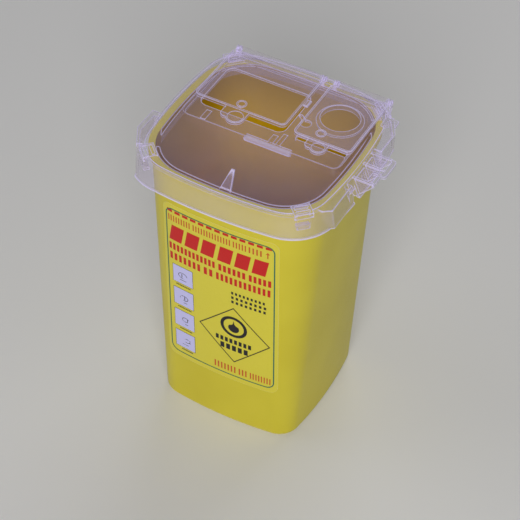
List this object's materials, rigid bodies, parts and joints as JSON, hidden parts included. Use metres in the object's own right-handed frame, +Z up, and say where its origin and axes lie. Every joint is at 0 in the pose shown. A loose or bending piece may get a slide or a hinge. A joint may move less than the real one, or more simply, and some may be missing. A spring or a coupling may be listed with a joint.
{
  "type": "sharps container",
  "caption": "Small square tapered sharps bin with a translucent press-on lid, a large and a small hinged flap, and a printed label on its front.",
  "frame": {"origin": "middle of the bin's base, on the surface it stands on", "axes": "+Z up; the label faces -Y; +X is to the right of somebody reading the label"},
  "size_m": [0.1036, 0.0964, 0.1539],
  "materials": {
    "bin_plastic": "satin moulded polypropylene, opaque yellow",
    "label_sticker": "printed vinyl sticker, yellow ground",
    "lid_plastic": "translucent natural polypropylene, moulded"
  },
  "bodies": {
    "bin": {"bin": "bin_plastic", "label": "label_sticker"},
    "lid": {"lid": "lid_plastic"},
    "large_flap": {"large_flap": "lid_plastic"},
    "small_flap": {"small_flap": "lid_plastic"}
  },
  "joints": [
    {"name": "lid_lift", "type": "slide", "parent": "bin", "child": "lid", "axis": [0, 0, 1], "range_m": [0, 0.06]},
    {"name": "large_flap_hinge", "type": "hinge", "parent": "lid", "child": "large_flap", "pos_m": [-0.0143, 0.0395, 0.14667], "axis": [-1, 0, 0], "range_deg": [0, 175]},
    {"name": "small_flap_hinge", "type": "hinge", "parent": "lid", "child": "small_flap", "pos_m": [0.02485, 0.0395, 0.14667], "axis": [-1, 0, 0], "range_deg": [0, 175]}
  ]
}
